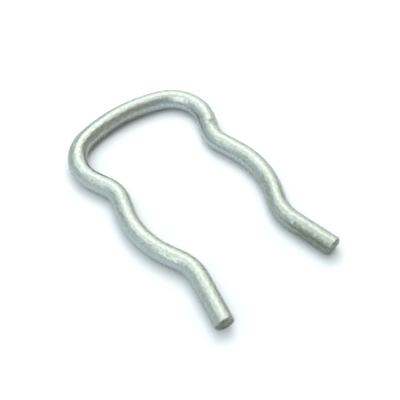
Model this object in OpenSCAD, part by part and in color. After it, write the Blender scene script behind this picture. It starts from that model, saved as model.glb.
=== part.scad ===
// Spring retaining clip, bent from one length of round wire.
// An arched crown carries two legs. Each leg pinches in at the waist, swells at the belly,
// pinches in again at the throat and ends in a straight tip that splays out.
// The clip lies flat: crown towards +Y, tips towards -Y.
// Its left and right halves are alike, but for the lengths that their tips are cropped to.

/* [Wire] */
// Diameter of the round wire
wire_d = 2; // [1:0.1:3]
// Width of the bevel round each cropped end
end_bevel = 0.15; // [0.05:0.05:0.4]

/* [Crown] */
// Radius of the arched crown, at the middle of the wire
crown_r = 14.9; // [10:0.1:25]
// Turn of each half of the crown, in degrees
crown_turn = 17.5; // [10:0.5:25]
// Radius of the corner between the crown and a leg
corner_r = 3.8; // [2.5:0.1:6]
// Turn of that corner, in degrees
corner_turn = 95.5; // [85:0.5:105]

/* [Legs] */
// Straight run from the corner to the waist
shoulder_len = 1.5; // [0.5:0.1:4]
// Radius of the bend at the waist
waist_r = 3.1; // [2:0.1:6]
// Turn at the waist, in degrees
waist_turn = 40.5; // [25:0.5:55]
// Straight run from the waist to the belly
flank_len = 1.7; // [0.5:0.1:5]
// Radius of the belly, the long outward curve of a leg
belly_r = 8.9; // [5:0.1:14]
// Turn along the belly, in degrees
belly_turn = 41.5; // [25:0.5:55]
// Straight run from the belly to the throat
taper_len = 1.3; // [0.5:0.1:4]

/* [Throat and tips] */
// Radius of the bend at the throat
throat_r = 4.4; // [2:0.1:8]
// Turn at the throat, in degrees
throat_turn = 36.5; // [20:0.5:50]
// Straight length of the left tip, from the throat to its cropped end
left_tip_len = 5.3; // [2:0.1:10]
// Straight length of the right tip, from the throat to its cropped end
right_tip_len = 4.8; // [2:0.1:10]

/* [Hidden] */
$fn = 96;
zinc_grey = [0.66, 0.68, 0.67];
wire_r = wire_d / 2;
// Each stretch of wire runs into the next by this much
lap = 0.000001;

// A turn is taken at the nearest angle whose sine and cosine still square to one
// when each is cut to this many digits, so that the stretches of wire meet face to face.
kept_digits = 6;
// Step of the search for that angle, in degrees
turn_step = 0.00005;
// Most that the length of the cut sine and cosine may miss one by
slack_share = 0.000000003;

function kept(x) = let (scale = pow(10, kept_digits - 1 - floor(log(abs(x))))) round(x * scale) / scale;
function is_settled(turn) = abs(norm([kept(cos(turn)), kept(sin(turn))]) - 1) < slack_share;
function settled(turn, shift = 0) =
    is_settled(turn + shift) ? turn + shift
    : is_settled(turn - shift) ? turn - shift
    : settled(turn, shift + turn_step);

// Half of the wire, from the middle of the crown to one tip: each bend follows a straight run.
// A positive turn goes to the left of the way ahead.
runs = [0, 0, shoulder_len, flank_len, taper_len];
radii = [crown_r, corner_r, waist_r, belly_r, throat_r];
turns = [
    -settled(crown_turn),
    -settled(corner_turn),
    settled(waist_turn),
    -settled(belly_turn),
    settled(throat_turn)
];

function ahead_of(heading) = [cos(heading), sin(heading)];
function left_of(heading) = [-sin(heading), cos(heading)];
function past_bend(i, p, heading) =
    p + runs[i] * ahead_of(heading)
    + sign(turns[i]) * radii[i] * (left_of(heading) - left_of(heading + turns[i]));
function tip_end(tip_len, i = 0, p = [0, 0], heading = 0) =
    i == len(turns) ? p + tip_len * ahead_of(heading)
    : tip_end(tip_len, i + 1, past_bend(i, p, heading), heading + turns[i]);
function total(list, i = 0) = i == len(list) ? 0 : list[i] + total(list, i + 1);

// Lowest and highest reach of the clip along Y, measured from the middle of the crown
tip_heading = total(turns);
longer_tip_len = max(left_tip_len, right_tip_len);
low_y = tip_end(longer_tip_len).y - (wire_r - end_bevel) * abs(cos(tip_heading));
high_y = wire_r;

// Round wire from the origin along +X, and a lap more
module straight(length) {
    rotate([0, 90, 0])
        cylinder(d = wire_d, h = length + lap);
}

// Straight wire whose far end is cropped square and bevelled
module tip(tip_len) {
    straight(tip_len - end_bevel);
    translate([tip_len - end_bevel, 0, 0])
        rotate([0, 90, 0])
            cylinder(d1 = wire_d, d2 = wire_d - 2 * end_bevel, h = end_bevel);
}

// Everything a lap beyond the plane X = 0, on its + side or its - side
module beyond(side, reach) {
    translate([side * (reach / 2 + lap), 0, 0])
        cube([reach, 2 * reach, 2 * reach], center = true);
}

// Carries what follows round a bend of this radius and turn
module round_bend(r, turn) {
    translate([0, sign(turn) * r, 0])
        rotate([0, 0, turn])
            translate([0, -sign(turn) * r, 0])
                children();
}

// Bent wire that leaves the origin along +X: a ring, kept between the planes of its two ends
module bend(r, turn) {
    reach = 2 * r + wire_d;
    difference() {
        translate([0, sign(turn) * r, 0])
            rotate([0, 0, 180])
                rotate_extrude()
                    translate([r, 0])
                        rotate(-90)
                            circle(d = wire_d);
        beyond(-1, reach);
        round_bend(r, turn)
            beyond(1, reach);
    }
}

// The rest of one half, from its stretch number i: hand is 1 for the right half, -1 for the left
module half(hand, i = 0) {
    if (i == len(turns)) {
        tip(hand > 0 ? right_tip_len : left_tip_len);
    } else {
        if (runs[i] > 0)
            straight(runs[i]);
        translate([runs[i], 0, 0]) {
            bend(radii[i], hand * turns[i]);
            round_bend(radii[i], hand * turns[i])
                half(hand, i + 1);
        }
    }
}

module wire_clip() {
    color(zinc_grey)
        translate([0, -(low_y + high_y) / 2, wire_r]) {
            half(1);
            rotate([0, 0, 180])
                half(-1);
        }
}

wire_clip();
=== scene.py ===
"""A spring retaining clip bent from one length of round wire, with its zinc plating and a small studio."""

import math
from typing import NamedTuple

import bpy
import numpy as np
from bpy.props import FloatProperty, FloatVectorProperty, IntProperty, PointerProperty
from mathutils import Matrix, Vector, noise


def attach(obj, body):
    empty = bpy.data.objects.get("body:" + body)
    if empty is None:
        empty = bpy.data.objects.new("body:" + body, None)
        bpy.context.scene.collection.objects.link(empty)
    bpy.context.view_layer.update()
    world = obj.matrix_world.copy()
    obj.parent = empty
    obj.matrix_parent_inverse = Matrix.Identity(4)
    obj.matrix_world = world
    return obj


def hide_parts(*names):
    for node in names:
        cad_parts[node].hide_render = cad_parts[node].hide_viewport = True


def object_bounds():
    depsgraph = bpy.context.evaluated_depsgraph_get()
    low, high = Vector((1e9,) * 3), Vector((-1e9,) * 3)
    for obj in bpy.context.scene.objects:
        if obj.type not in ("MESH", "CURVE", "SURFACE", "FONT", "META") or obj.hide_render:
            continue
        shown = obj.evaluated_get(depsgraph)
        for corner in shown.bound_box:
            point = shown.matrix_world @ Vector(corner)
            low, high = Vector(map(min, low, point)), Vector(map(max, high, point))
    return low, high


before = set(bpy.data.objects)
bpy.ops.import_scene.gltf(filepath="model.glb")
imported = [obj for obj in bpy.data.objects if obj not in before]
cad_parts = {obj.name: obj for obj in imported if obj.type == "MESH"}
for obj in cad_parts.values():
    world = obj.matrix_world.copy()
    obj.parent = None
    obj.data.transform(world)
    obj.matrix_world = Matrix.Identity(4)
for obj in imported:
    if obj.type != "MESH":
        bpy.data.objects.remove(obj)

bl_info = {
    "name": "Wire Retaining Clip",
    "version": (1, 0, 0),
    "blender": (4, 5, 0),
    "location": "View3D > Sidebar > Wire Clip",
    "description": "Bends a zinc-plated wire retaining clip over its packed frame and lights it",
    "category": "Add Mesh",
}

CAD_LOW, CAD_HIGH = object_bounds()
NODE = "wire_clip"
MM = 0.001

# Names of the mesh attributes that the finish reads
STRAIGHT_PLACE = "straight_place"
CROP_SHARE = "crop_share"
# The next two carry the wear with painted shade, and a painted bluish reflection
WEAR_AND_SHADE_SHARE = "wear_and_shade_share"
PAINTED_REFLECTION_SHARE = "painted_reflection_share"


class ToolMark(NamedTuple):
    """A dent left by a bending tool or by handling.

    Its place along the wire is measured from the middle of the crown, with the left leg negative. Its angle
    round the wire is measured from the inside of the clip over the top.
    """

    along_mm: float
    around_deg: float
    length_mm: float
    width_mm: float
    depth_mm: float


class FinishPlace(NamedTuple):
    """A place where the plating looks different. Its middle is measured as a tool mark's is."""

    along_mm: float
    around_deg: float
    half_length_mm: float
    half_angle_deg: float
    strength: float


class FinishNoise(NamedTuple):
    """Noise of the finish on the straightened wire.

    It has this many features in a millimetre, drawn out along the wire by the stretch, with finer layers on
    them. It counts between its low and its high level.
    """

    per_mm: float
    stretch: float
    layers: float
    low: float = 0.0
    high: float = 1.0


TOOL_MARKS = (
    ToolMark(12.10, 97, 0.24, 0.38, 0.085),
    ToolMark(12.55, 118, 0.20, 0.30, 0.030),
    ToolMark(8.10, 62, 0.14, 0.50, 0.018),
    ToolMark(27.30, 48, 0.13, 0.45, 0.020),
    ToolMark(28.50, 70, 0.18, 0.25, 0.022),
    ToolMark(-22.90, 84, 0.10, 0.55, 0.018),
    ToolMark(-25.20, 100, 0.14, 0.45, 0.020),
    ToolMark(-10.20, 70, 0.16, 0.45, 0.016),
)
# Places of wear on the plating, and places on inner lower sides where shade is painted
WEAR_AND_SHADE_PLACES = (
    # Painted shade: the inner lower side of the right tip, darkened for the shadowed floor that it reflects
    FinishPlace(30.4, -8, 3.6, 74, 1.0),
    FinishPlace(23.2, 64, 2.6, 20, 0.45),
    FinishPlace(12.0, 68, 1.6, 20, 0.4),
    FinishPlace(12.0, 103, 0.26, 15, 0.9),
    # Painted shade: the inner lower side of the crown, darkened for the contact shadow that it reflects
    FinishPlace(-3.0, -18, 6.0, 30, 1.0),
    FinishPlace(-30.5, 178, 2.6, 26, 0.4),
    # Painted shade: the inner lower side of the right leg before its tip, darkened for the shadowed floor
    FinishPlace(24.5, -8, 4.5, 38, 0.5),
    FinishPlace(27.0, 90, 5.5, 70, 0.12),
    FinishPlace(-30.0, 130, 3.0, 50, 0.14),
    FinishPlace(-16.0, 118, 2.0, 24, 0.25),
    FinishPlace(-6.5, 155, 2.0, 25, 0.4),
)
# Where a bluish reflection is painted on the lower sides: outside the left leg and inside the right leg
PAINTED_REFLECTION_PLACES = (
    FinishPlace(-21.5, 188, 15.0, 42, 0.85),
    FinishPlace(14.0, -8, 15.0, 42, 0.85),
)
# Share of its half length, and of its half angle, over which such a place fades out
PLACE_FADE = 0.8

# Noises of the finish
BLOTCHES = FinishNoise(4.0, 1.4, 4.0, 0.36, 0.58)
# Specks that break up the wear and the painted shade
DARKENING_SPECKS = FinishNoise(3.0, 1.6, 5.0, 0.35, 0.60)
TORN_PATCHES = FinishNoise(2.6, 1.0, 4.0, 0.36, 0.60)
SATIN = FinishNoise(5.0, 1.5, 3.0, 0.35, 0.65)
GRAIN = FinishNoise(11.0, 1.5, 3.0)
# How strong the finer layers of these noises are
LAYER_STRENGTH = 0.6
# Share of its darkening that each place of wear and painted shade keeps between its specks
LEAST_DARKENING = 0.65
# Share of the way over the edge of a crop at which the crop's roughness begins
CROP_ROUGH_START = 0.5

# Noises of the surface: how far lumps and pits are drawn out along the wire, the level at which a pit begins,
# and the places that keep the noises apart
LUMP_STRETCH = 2.4
PIT_STRETCH = 1.6
PIT_LEVEL = 0.05
LUMP_SEED = 11.3
PIT_SEED = 47.9
CROP_SEED = 83.1
RIM_SEED = 29.4

# The crops: rings round each rounded edge, and rings from there to the middle of the end face
EDGE_RINGS = 6
FACE_RINGS = 9
# Width of the lumps on the face of a crop, and of those round its rim
CROP_LUMP = 0.22 * MM
RIM_LUMP = 0.50 * MM
# Largest share of its radius that a crop loses round its rim
RIM_LOSS = 0.12
# Stretch of wire before a tip over which the slant of its crop comes in
SLANT_RUN = 1.6 * MM
# Height over which the sheared lower half of a crop passes into its torn upper half
TORN_RUN = 0.5 * MM
# Shares of the crop's depth: how far the torn half lies back, how rough the sheared half is, and how much
# rougher the torn half is
TORN_DROP = 0.35
SHEARED_ROUGH = 0.15
TORN_ROUGH = 0.45

# Softboxes, as seen from the clip: azimuth, elevation, width and height, in degrees
SOFTBOXES = {
    "overhead": (170, 74, 68, 68),
    "back": (132, 38, 54, 56),
    "left": (287, 48, 30, 36),
}
SOFTBOX_DISTANCE = 0.6
# Place of the key light, near the crown, so that the tips throw longer shadows than the crown
KEY_PLACE = Vector((16.0, 18.2, 60.0)) * MM
# Width and height of the key light as seen from the clip, in degrees
KEY_SPAN = 36

# The floor: half of its width, and its roughness
FLOOR_HALF = 1.5
FLOOR_ROUGHNESS = 0.9

# The room: azimuth of its light side, in degrees, how far towards either side it passes from light to dim,
# and the height up to which the dim side is lighter, both as parts of a unit direction
LIGHT_SIDE = 230
SIDE_REACH = 0.5
LOW_REACH = 0.4

# The camera: width of its sensor, in millimetres, and the nearest and furthest that it sees
SENSOR_WIDTH = 36.0
NEAREST = 1.0 * MM
FURTHEST = 10.0


def length(name, description, default):
    """A property that holds a length."""
    return FloatProperty(
        name=name, description=description, default=default, min=0.0, unit="LENGTH", precision=5
    )


def angle(name, description, degrees):
    """A property that holds an angle."""
    return FloatProperty(name=name, description=description, default=math.radians(degrees), subtype="ANGLE")


def share(name, description, default):
    """A property that holds a number from 0 to 1."""
    return FloatProperty(
        name=name, description=description, default=default, min=0.0, max=1.0, subtype="FACTOR"
    )


def brightness(name, description, default):
    """A property that holds how bright a light looks, where 1 is white."""
    return FloatProperty(name=name, description=description, default=default, min=0.0)


def colour(name, description, default):
    """A property that holds a colour."""
    return FloatVectorProperty(
        name=name, description=description, default=default, min=0.0, max=1.0, size=3, subtype="COLOR"
    )


class WireShape(bpy.types.PropertyGroup):
    """Sizes of the bent wire, from the middle of the crown to its tips"""

    wire_diameter: length("Wire", "Diameter of the round wire", CAD_HIGH.z - CAD_LOW.z)
    crown_radius: length("Crown radius", "Radius of the arched crown", 14.9 * MM)
    crown_angle: angle("Crown turn", "Turn of each half of the crown", 17.5)
    corner_radius: length("Corner radius", "Radius of the corner between the crown and a leg", 3.8 * MM)
    corner_angle: angle("Corner turn", "Turn of that corner", 95.5)
    shoulder_length: length("Shoulder", "Straight run from the corner to the waist", 1.5 * MM)
    waist_radius: length("Waist radius", "Radius of the bend at the waist", 3.1 * MM)
    waist_angle: angle("Waist turn", "Turn at the waist", 40.5)
    flank_length: length("Flank", "Straight run from the waist to the belly", 1.7 * MM)
    belly_radius: length("Belly radius", "Radius of the long outward curve of a leg", 8.9 * MM)
    belly_angle: angle("Belly turn", "Turn along the belly", 41.5)
    taper_length: length("Taper", "Straight run from the belly to the throat", 1.3 * MM)
    throat_radius: length("Throat radius", "Radius of the bend at the throat", 4.4 * MM)
    throat_angle: angle("Throat turn", "Turn at the throat", 36.5)
    left_tip_length: length("Left tip", "Straight length of the left tip", 5.3 * MM)
    right_tip_length: length("Right tip", "Straight length of the right tip", 4.8 * MM)
    crop_slant: angle("Crop slant", "Lean of a cropped end, whose upper edge reaches further", 9.0)
    crop_rounding: length("Crop rounding", "Radius of the worn edge of a cropped end", 0.20 * MM)
    ring_spacing: length("Ring spacing", "Distance between rings of the mesh along the wire", 0.068 * MM)
    sides: IntProperty(name="Sides", description="Vertices round each ring of the mesh", default=92, min=8)


class WireFinish(bpy.types.PropertyGroup):
    """Zinc plating on the wire, and the bare steel of its cropped ends"""

    zinc_bright: colour("Bright zinc", "Colour of the plating where it is clean", (0.435, 0.47, 0.435))
    zinc_dull: colour("Dull zinc", "Colour of the plating where it is dull", (0.35, 0.378, 0.322))
    # Colour of a bluish reflection painted on the lower sides of the legs
    zinc_painted_reflection: colour("Painted bluish reflection", "Colour of the plating where a bluish reflection is painted", (0.395, 0.44, 0.452))
    # Colour of the wear, and of the shade painted on inner lower sides
    zinc_wear_and_shade: colour("Zinc with wear and shade", "Colour of the plating where it shows wear, and where shade is painted on it", (0.18, 0.20, 0.155))
    crop_steel: colour("Cropped steel", "Colour of the bare cropped ends", (0.29, 0.315, 0.28))
    crop_dark: colour("Dark steel", "Colour of the darker patches of those ends", (0.14, 0.154, 0.13))
    smoothest: share("Smoothest", "Roughness of the plating where it is smoothest", 0.22)
    roughest: share("Roughest", "Roughness of the plating where it is roughest", 0.36)
    crop_roughness: share("Crop roughness", "Roughness of the cropped ends", 0.55)
    lump_size: length("Lump size", "Width of the lumps of the plating", 0.17 * MM)
    lump_depth: length("Lump depth", "Height of those lumps", 0.026 * MM)
    pit_size: length("Pit size", "Width of the small pits of the plating", 0.13 * MM)
    pit_depth: length("Pit depth", "Depth of those pits", 0.007 * MM)
    crop_depth: length("Crop depth", "Unevenness of a cropped end", 0.08 * MM)
    grain_depth: length("Grain depth", "Height of the grain that is too fine for the mesh", 0.0014 * MM)


class ClipStage(bpy.types.PropertyGroup):
    """Floor, lights and camera"""

    floor_white: colour("Floor", "Colour of the floor", (0.71, 0.73, 0.74))
    overhead_brightness: brightness("Overhead softbox", "Brightness of the softbox over the clip", 0.86)
    back_brightness: brightness("Back softbox", "Brightness of the softbox behind the clip", 1.0)
    left_brightness: brightness("Left softbox", "Brightness of the softbox on the left", 1.45)
    key_brightness: brightness("Key light", "Brightness of the light that makes the shadows", 2.6)
    room_brightness: brightness("Room", "Brightness of the room", 1.07)
    room_light: colour("Light side", "Colour of the room on its light side", (0.84, 0.95, 1.0))
    room_dim: colour("Dim side", "Colour of the room on its dim side", (0.465, 0.495, 0.465))
    room_low: colour("Low dim side", "Colour of the dim side just above the floor", (0.72, 0.76, 0.73))
    view_azimuth: angle("View azimuth", "Turn of the camera round the clip", -36.435)
    view_elevation: angle("View elevation", "Height of the camera above the floor", 51.632)
    view_roll: angle("View roll", "Tilt of the camera", -0.615)
    view_distance: length("View distance", "Distance of the camera from what it looks at", 96.866 * MM)
    view_target: FloatVectorProperty(
        name="View target",
        description="Point that the camera looks at",
        default=(-0.025 * MM, -1.091 * MM, 1.0 * MM),
        size=3,
        subtype="TRANSLATION",
        unit="LENGTH",
    )
    lens: FloatProperty(name="Lens", description="Focal length of the camera", default=90.69, unit="CAMERA")


def stretches(shape):
    """(length, turn) of each stretch of the right half, from the middle of the crown, with the longer tip.

    A left turn is positive.
    """
    return (
        (shape.crown_radius * shape.crown_angle, -shape.crown_angle),
        (shape.corner_radius * shape.corner_angle, -shape.corner_angle),
        (shape.shoulder_length, 0.0),
        (shape.waist_radius * shape.waist_angle, shape.waist_angle),
        (shape.flank_length, 0.0),
        (shape.belly_radius * shape.belly_angle, -shape.belly_angle),
        (shape.taper_length, 0.0),
        (shape.throat_radius * shape.throat_angle, shape.throat_angle),
        (max(shape.left_tip_length, shape.right_tip_length), 0.0),
    )


def tip_ends(shape):
    """Distances along the wire from the middle of the crown to both tips. The left one is negative."""
    bent = sum(run for run, _ in stretches(shape)[:-1])
    return -bent - shape.left_tip_length, bent + shape.right_tip_length


def along_arc(heading, bend, ahead):
    """Steps from the start of a stretch to the points this far along it. The bend is its turn per metre."""
    half_turn = bend * ahead / 2
    chord = ahead * np.sinc(half_turn / math.pi)
    return np.stack([chord * np.cos(heading + half_turn), chord * np.sin(heading + half_turn)], axis=-1)


def middle_line(shape, distances):
    """Places and headings of the wire's middle line at these distances from the middle of the crown."""
    out = np.abs(distances)
    places = np.zeros((len(out), 2))
    headings = np.zeros(len(out))
    start, heading, begun = np.zeros(2), 0.0, 0.0
    for run, turn in stretches(shape):
        reached = out >= begun
        ahead = np.minimum(out[reached] - begun, run)
        bend = turn / run
        places[reached] = start + along_arc(heading, bend, ahead)
        headings[reached] = heading + bend * ahead
        start = start + along_arc(heading, bend, np.array(run))
        heading += turn
        begun += run
    hand = np.where(distances < 0, -1.0, 1.0)
    places[:, 0] *= hand
    return places, headings * hand


def placed(shape, distances, radii, angles):
    """Points of the bent wire, from distances along it, radii, and angles from the inside over the top."""
    places, headings = middle_line(shape, distances)
    wire_radius = shape.wire_diameter / 2
    crown_y = CAD_HIGH.y - wire_radius
    inward = radii * np.cos(angles)
    return np.stack(
        [
            places[:, 0] + inward * np.sin(headings),
            crown_y + places[:, 1] - inward * np.cos(headings),
            CAD_LOW.z + wire_radius + radii * np.sin(angles),
        ],
        axis=-1,
    )


def ring_sizes(shape):
    """Distances from the middle of the crown and radii of all rings from tip to tip, and their crop share."""
    radius = shape.wire_diameter / 2
    rounding = shape.crop_rounding
    left_tip, right_tip = tip_ends(shape)
    body_start, body_end = left_tip + rounding, right_tip - rounding
    body = np.linspace(body_start, body_end, round((body_end - body_start) / shape.ring_spacing))
    turn = np.linspace(0, math.pi / 2, EDGE_RINGS + 1)[1:]
    edge_steps = rounding * np.sin(turn)
    edge_radii = radius - rounding * (1 - np.cos(turn))
    face_radii = (radius - rounding) * np.linspace(1, 0, FACE_RINGS + 1)[1:-1]
    end_steps = np.concatenate([edge_steps, np.full(len(face_radii), rounding)])
    end_radii = np.concatenate([edge_radii, face_radii])
    distances = np.concatenate([body_start - end_steps[::-1], body, body_end + end_steps])
    radii = np.concatenate([end_radii[::-1], np.full(len(body), radius), end_radii])
    crop = np.clip(np.maximum(body_start - distances, distances - body_end) / rounding, 0, 1)
    return distances, radii, crop


def smooth_noise(places, size, seed, stretch=1.0):
    """Noise from -1 to 1 at straightened places, with lumps of this size, drawn out along the wire."""
    scaled = places / np.array([size, size, size * stretch]) + seed
    return np.array([noise.noise(Vector(p)) for p in scaled])


def smooth_share(places, size, seed, stretch=1.0):
    """The same noise, from 0 to 1."""
    return 0.5 + 0.5 * smooth_noise(places, size, seed, stretch)


def turned_from(angles, middle_deg):
    """Angles round the wire from one in degrees, between half a turn either way."""
    return (angles - math.radians(middle_deg) + math.pi) % (2 * math.pi) - math.pi


def plating_depth(finish, places):
    """How far the plated surface lies below the wire's full radius."""
    lumps = smooth_share(places, finish.lump_size, LUMP_SEED, LUMP_STRETCH)
    pits = np.clip(smooth_noise(places, finish.pit_size, PIT_SEED, PIT_STRETCH) - PIT_LEVEL, 0, 1)
    return finish.lump_depth * lumps + finish.pit_depth * pits


def mark_depth(distances, angles, radius):
    """How far the tool marks lie below the wire's full radius, for each ring and each side."""
    depth = np.zeros((len(distances), len(angles)))
    for mark in TOOL_MARKS:
        along = (distances - mark.along_mm * MM) / (mark.length_mm * MM)
        around = turned_from(angles, mark.around_deg) * radius / (mark.width_mm * MM)
        depth += mark.depth_mm * MM * np.exp(-(along[:, None] ** 2)) * np.exp(-(around[None, :] ** 2))
    return depth


def covered_share(places, distances, angles):
    """How much these places cover each vertex, from 0 to 1, and nothing at the middles of the crops."""
    covered = np.zeros((len(distances), len(angles)))
    for place in places:
        along = np.abs(distances - place.along_mm * MM) / (place.half_length_mm * MM)
        around = np.abs(turned_from(angles, place.around_deg)) / math.radians(place.half_angle_deg)
        near = np.clip((1 + PLACE_FADE / 2 - along) / PLACE_FADE, 0, 1)
        close = np.clip((1 + PLACE_FADE / 2 - around) / PLACE_FADE, 0, 1)
        covered = np.maximum(covered, place.strength * near[:, None] * close[None, :])
    return np.concatenate([covered.ravel(), np.zeros(2)])


def slant_loss(shape, places):
    """How far the slant of a crop takes the wire's end back at the bottom. At the top it reaches further."""
    left_tip, right_tip = tip_ends(shape)
    to_tip = np.minimum(places[:, 2] - left_tip, right_tip - places[:, 2])
    near = np.clip(1 - to_tip / SLANT_RUN, 0, 1)
    return -near * math.tan(shape.crop_slant) * places[:, 1]


def crop_depth(finish, places):
    """How far a cropped end lies behind its plane. Its torn upper half lies further back and is rougher."""
    torn = np.clip(0.5 + places[:, 1] / TORN_RUN, 0, 1)
    rough = smooth_share(places, CROP_LUMP, CROP_SEED)
    return finish.crop_depth * (TORN_DROP * torn + (SHEARED_ROUGH + TORN_ROUGH * torn) * rough)


def rim_share(places):
    """Share of its radius that a cropped end loses round its uneven rim."""
    return RIM_LOSS * smooth_share(places, RIM_LUMP, RIM_SEED)


def wire_surface(shape, finish):
    """Vertices of the wire, their places before it is bent, their shares, and the number of rings.

    The last two vertices are the middles of the crops.
    """
    distances, radii, crop = ring_sizes(shape)
    angles = np.arange(shape.sides) * (2 * math.pi / shape.sides)
    count = (len(distances), shape.sides)
    grid_radius = np.broadcast_to(radii[:, None], count).copy()
    grid_distance = np.broadcast_to(distances[:, None], count).copy()
    grid_crop = np.broadcast_to(crop[:, None], count)
    straight = np.stack(
        [grid_radius * np.cos(angles), grid_radius * np.sin(angles), grid_distance], axis=-1
    ).reshape(-1, 3)
    marks = mark_depth(distances, angles, shape.wire_diameter / 2)
    grid_radius -= (1 - grid_crop) * (plating_depth(finish, straight).reshape(count) + marks)
    grid_radius *= 1 - grid_crop * rim_share(straight).reshape(count)
    uneven = grid_crop * crop_depth(finish, straight).reshape(count)
    grid_distance -= np.sign(grid_distance) * (uneven + slant_loss(shape, straight).reshape(count))
    rings = placed(shape, grid_distance.ravel(), grid_radius.ravel(), np.tile(angles, len(distances)))
    tips = np.array([distances[0], distances[-1]])
    middles = np.array([[0.0, 0.0, tip] for tip in tips])
    middle_distances = tips - np.sign(tips) * (crop_depth(finish, middles) + slant_loss(shape, middles))
    ends = placed(shape, middle_distances, np.zeros(2), np.zeros(2))
    shares = {
        CROP_SHARE: np.concatenate([grid_crop.ravel(), np.ones(2)]),
        # Masks of the wear with painted shade, and of the painted bluish reflection
        WEAR_AND_SHADE_SHARE: covered_share(WEAR_AND_SHADE_PLACES, distances, angles),
        PAINTED_REFLECTION_SHARE: covered_share(PAINTED_REFLECTION_PLACES, distances, angles),
    }
    return np.concatenate([rings, ends]), np.concatenate([straight, middles]), shares, len(distances)


def wire_faces(rings, sides):
    """Four-sided faces between neighbouring rings, and a fan of triangles on each crop."""
    faces = []
    for ring in range(rings - 1):
        for side in range(sides):
            after = (side + 1) % sides
            here, there = ring * sides, (ring + 1) * sides
            faces.append((here + side, there + side, there + after, here + after))
    left_middle = rings * sides
    right_middle = left_middle + 1
    last = (rings - 1) * sides
    for side in range(sides):
        after = (side + 1) % sides
        faces.append((left_middle, side, after))
        faces.append((right_middle, last + after, last + side))
    return faces


def add_node(tree, kind, **inputs):
    """A new shader node with these values on its inputs. An underscore stands for a space in a name."""
    node = tree.nodes.new(kind)
    for name, value in inputs.items():
        node.inputs[name.replace("_", " ")].default_value = value
    return node


def attribute(tree, name, output):
    """A mesh attribute, read by the finish."""
    node = tree.nodes.new("ShaderNodeAttribute")
    node.attribute_name = name
    return node.outputs[output]


def ranged(tree, value, low, high, to_low, to_high):
    """A value taken from one range to another, held at its ends."""
    node = add_node(
        tree, "ShaderNodeMapRange", From_Min=low, From_Max=high, To_Min=to_low, To_Max=to_high
    )
    tree.links.new(value, node.inputs["Value"])
    return node.outputs["Result"]


def combined(tree, operation, first, second):
    """Two values, put together by this operation."""
    node = tree.nodes.new("ShaderNodeMath")
    node.operation = operation
    tree.links.new(first, node.inputs[0])
    tree.links.new(second, node.inputs[1])
    return node.outputs["Value"]


def mixed(tree, fac, low, high):
    """A colour between two others. Each of them is a fixed colour or a socket."""
    node = tree.nodes.new("ShaderNodeMix")
    node.data_type = "RGBA"
    tree.links.new(fac, node.inputs["Factor"])
    for name, value in (("A", low), ("B", high)):
        socket = next(s for s in node.inputs if s.name == name and s.type == "RGBA")
        if isinstance(value, bpy.types.NodeSocket):
            tree.links.new(value, socket)
        else:
            socket.default_value = (*value, 1.0)
    return next(s for s in node.outputs if s.type == "RGBA")


def wire_noise(tree, place, kind):
    """Noise of this kind on the straightened wire."""
    across = kind.per_mm
    mapping = add_node(tree, "ShaderNodeMapping", Scale=(across, across, across / kind.stretch))
    tree.links.new(place, mapping.inputs["Vector"])
    texture = add_node(
        tree, "ShaderNodeTexNoise", Scale=1.0, Detail=kind.layers, Roughness=LAYER_STRENGTH
    )
    tree.links.new(mapping.outputs["Vector"], texture.inputs["Vector"])
    return texture.outputs["Fac"]


def levelled_noise(tree, place, kind, to_low=0.0, to_high=1.0):
    """The same noise, taken from its levels to another range."""
    return ranged(tree, wire_noise(tree, place, kind), kind.low, kind.high, to_low, to_high)


def zinc_material(finish):
    """Mottled satin zinc with wear, painted shade and a painted bluish reflection, and dull steel on the
    crops.
    """
    material = bpy.data.materials.new("zinc_plating")
    material.use_nodes = True
    tree = material.node_tree
    shader = tree.nodes["Principled BSDF"]
    shader.inputs["Metallic"].default_value = 1.0
    place = attribute(tree, STRAIGHT_PLACE, "Vector")
    crop = attribute(tree, CROP_SHARE, "Fac")
    wear_and_shade = attribute(tree, WEAR_AND_SHADE_SHARE, "Fac")
    painted_reflection = attribute(tree, PAINTED_REFLECTION_SHARE, "Fac")

    blotches = levelled_noise(tree, place, BLOTCHES)
    plating = mixed(tree, blotches, finish.zinc_dull, finish.zinc_bright)
    # A bluish reflection painted on the lower sides of the legs
    plating = mixed(tree, painted_reflection, plating, finish.zinc_painted_reflection)
    specks = levelled_noise(tree, place, DARKENING_SPECKS, LEAST_DARKENING)
    # Wear, and shade painted on inner lower sides, darken the plating here
    plating = mixed(tree, combined(tree, "MULTIPLY", wear_and_shade, specks), plating, finish.zinc_wear_and_shade)
    patches = levelled_noise(tree, place, TORN_PATCHES)
    cropped = mixed(tree, patches, finish.crop_dark, finish.crop_steel)
    tree.links.new(mixed(tree, crop, plating, cropped), shader.inputs["Base Color"])

    plated_roughness = levelled_noise(tree, place, SATIN, finish.smoothest, finish.roughest)
    cropped_roughness = ranged(tree, crop, CROP_ROUGH_START, 1.0, 0.0, finish.crop_roughness)
    roughness = combined(tree, "MAXIMUM", plated_roughness, cropped_roughness)
    tree.links.new(roughness, shader.inputs["Roughness"])

    bump = add_node(tree, "ShaderNodeBump", Strength=1.0, Distance=finish.grain_depth)
    tree.links.new(wire_noise(tree, place, GRAIN), bump.inputs["Height"])
    tree.links.new(bump.outputs["Normal"], shader.inputs["Normal"])
    return material


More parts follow.
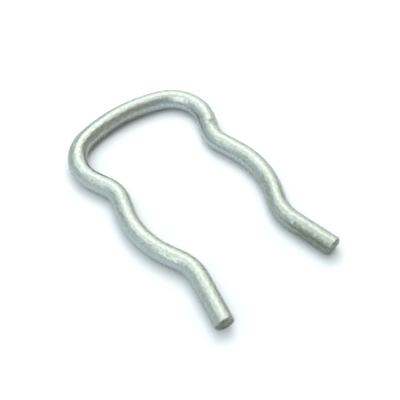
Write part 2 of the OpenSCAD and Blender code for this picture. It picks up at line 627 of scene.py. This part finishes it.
class BendWire(bpy.types.Operator):
    """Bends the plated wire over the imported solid"""

    bl_idname = "wire_clip.bend_wire"
    bl_label = "Bend the Wire"

    def execute(self, context):
        """Makes the wire's mesh and finish, and lets it stand for the solid."""
        shape = context.scene.wire_clip_shape
        finish = context.scene.wire_clip_finish
        vertices, straight, shares, rings = wire_surface(shape, finish)
        mesh = bpy.data.meshes.new("bent_wire")
        mesh.from_pydata(vertices.tolist(), [], wire_faces(rings, shape.sides))
        if mesh.validate():
            raise RuntimeError("the wire's mesh had faces that don't hold")
        places = mesh.attributes.new(STRAIGHT_PLACE, "FLOAT_VECTOR", "POINT")
        places.data.foreach_set("vector", (straight / MM).astype(np.float32).ravel())
        for name, values in shares.items():
            written = mesh.attributes.new(name, "FLOAT", "POINT")
            written.data.foreach_set("value", values.astype(np.float32))
        mesh.shade_smooth()
        mesh.materials.append(zinc_material(finish))
        wire = bpy.data.objects.new("bent_wire", mesh)
        context.scene.collection.objects.link(wire)
        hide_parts(NODE)
        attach(wire, "root")
        return {"FINISHED"}


def direction(azimuth, elevation):
    """The way to a point in the room, from angles in degrees. Azimuth 0 is -Y and 90 is +X."""
    turn, lift = math.radians(azimuth), math.radians(elevation)
    return Vector((math.sin(turn) * math.cos(lift), -math.cos(turn) * math.cos(lift), math.sin(lift)))


def add_softbox(scene, name, place, width, height, bright, mirrored=True):
    """A softbox that faces the clip and fills these angles, and that the metal mirrors if it is to.

    Its brightness adds to that of the room behind it.
    """
    distance = place.length
    light = bpy.data.lights.new(name, "AREA")
    light.shape = "RECTANGLE"
    light.size = 2 * distance * math.tan(math.radians(width) / 2)
    light.size_y = 2 * distance * math.tan(math.radians(height) / 2)
    light.energy = bright * math.pi * light.size * light.size_y
    box = bpy.data.objects.new(name, light)
    box.location = place
    box.rotation_euler = place.to_track_quat("Z", "Y").to_euler()
    box.visible_camera = False
    box.visible_glossy = mirrored
    scene.collection.objects.link(box)


def add_floor(scene, stage):
    """A wide plain floor under the clip."""
    half = FLOOR_HALF
    mesh = bpy.data.meshes.new("floor")
    corners = [(-half, -half, 0.0), (half, -half, 0.0), (half, half, 0.0), (-half, half, 0.0)]
    mesh.from_pydata(corners, [], [(0, 1, 2, 3)])
    material = bpy.data.materials.new("floor_paper")
    material.use_nodes = True
    shader = material.node_tree.nodes["Principled BSDF"]
    shader.inputs["Base Color"].default_value = (*stage.floor_white, 1.0)
    shader.inputs["Roughness"].default_value = FLOOR_ROUGHNESS
    shader.inputs["Specular IOR Level"].default_value = 0.0
    mesh.materials.append(material)
    floor = bpy.data.objects.new("floor", mesh)
    scene.collection.objects.link(floor)


def add_room(scene, stage):
    """A room with a light side and a dim side, which is lighter again just above the floor."""
    world = bpy.data.worlds.new("room")
    world.use_nodes = True
    tree = world.node_tree
    way = tree.nodes.new("ShaderNodeTexCoord").outputs["Generated"]
    towards_light = tree.nodes.new("ShaderNodeVectorMath")
    towards_light.operation = "DOT_PRODUCT"
    towards_light.inputs[1].default_value = direction(LIGHT_SIDE, 0)
    tree.links.new(way, towards_light.inputs[0])
    light_share = ranged(tree, towards_light.outputs["Value"], -SIDE_REACH, SIDE_REACH, 0.0, 1.0)
    parts = tree.nodes.new("ShaderNodeSeparateXYZ")
    tree.links.new(way, parts.inputs["Vector"])
    above_floor = ranged(tree, parts.outputs["Z"], 0.0, LOW_REACH, 0.0, 1.0)
    dim_side = mixed(tree, above_floor, stage.room_low, stage.room_dim)
    background = tree.nodes["Background"]
    background.inputs["Strength"].default_value = stage.room_brightness
    tree.links.new(mixed(tree, light_share, dim_side, stage.room_light), background.inputs["Color"])
    scene.world = world


def add_camera(scene, stage):
    """The camera at the photograph's angle."""
    azimuth, elevation = math.degrees(stage.view_azimuth), math.degrees(stage.view_elevation)
    back = direction(azimuth, elevation)
    right = Vector((math.cos(stage.view_azimuth), math.sin(stage.view_azimuth), 0.0))
    axes = Matrix((right, back.cross(right), back)).transposed().to_4x4()
    data = bpy.data.cameras.new("camera")
    data.sensor_width = SENSOR_WIDTH
    data.lens = stage.lens
    data.clip_start = NEAREST
    data.clip_end = FURTHEST
    camera = bpy.data.objects.new("camera", data)
    place = Vector(stage.view_target) + back * stage.view_distance
    camera.matrix_world = Matrix.Translation(place) @ axes @ Matrix.Rotation(stage.view_roll, 4, "Z")
    scene.collection.objects.link(camera)
    scene.camera = camera


class SetStage(bpy.types.Operator):
    """Lays the floor and sets up the lights and the camera"""

    bl_idname = "wire_clip.set_stage"
    bl_label = "Set the Stage"

    def execute(self, context):
        """Makes the floor, the softboxes, the key light, the room and the camera."""
        scene = context.scene
        stage = scene.wire_clip_stage
        add_floor(scene, stage)
        for name, (azimuth, elevation, width, height) in SOFTBOXES.items():
            place = SOFTBOX_DISTANCE * direction(azimuth, elevation)
            add_softbox(scene, name, place, width, height, getattr(stage, f"{name}_brightness"))
        add_softbox(scene, "key", KEY_PLACE, KEY_SPAN, KEY_SPAN, stage.key_brightness, mirrored=False)
        add_room(scene, stage)
        add_camera(scene, stage)
        scene.view_settings.view_transform = "Standard"
        return {"FINISHED"}


class WireClipPanel(bpy.types.Panel):
    """Lists the clip's sizes, finish and stage, with the buttons that make them"""

    bl_idname = "VIEW3D_PT_wire_clip"
    bl_label = "Wire Retaining Clip"
    bl_space_type = "VIEW_3D"
    bl_region_type = "UI"
    bl_category = "Wire Clip"

    def draw(self, context):
        """Draws a button for each operator and the settings that it reads."""
        scene = context.scene
        for operator, groups in (
            (BendWire, (scene.wire_clip_shape, scene.wire_clip_finish)),
            (SetStage, (scene.wire_clip_stage,)),
        ):
            box = self.layout.box()
            box.operator(operator.bl_idname)
            for group in groups:
                for name in group.bl_rna.properties.keys():
                    if name not in ("rna_type", "name"):
                        box.prop(group, name)


CLASSES = (WireShape, WireFinish, ClipStage, BendWire, SetStage, WireClipPanel)
GROUPS = {"wire_clip_shape": WireShape, "wire_clip_finish": WireFinish, "wire_clip_stage": ClipStage}


def register():
    """Registers the classes, and puts the settings on the scene."""
    for item in CLASSES:
        bpy.utils.register_class(item)
    for name, group in GROUPS.items():
        setattr(bpy.types.Scene, name, PointerProperty(type=group))


def unregister():
    """Takes the settings off the scene again, and the classes with them."""
    for name in GROUPS:
        delattr(bpy.types.Scene, name)
    for item in reversed(CLASSES):
        bpy.utils.unregister_class(item)


def main():
    """Makes the clip and its stage."""
    register()
    bpy.ops.wire_clip.bend_wire()
    bpy.ops.wire_clip.set_stage()


if __name__ == "__main__":
    main()
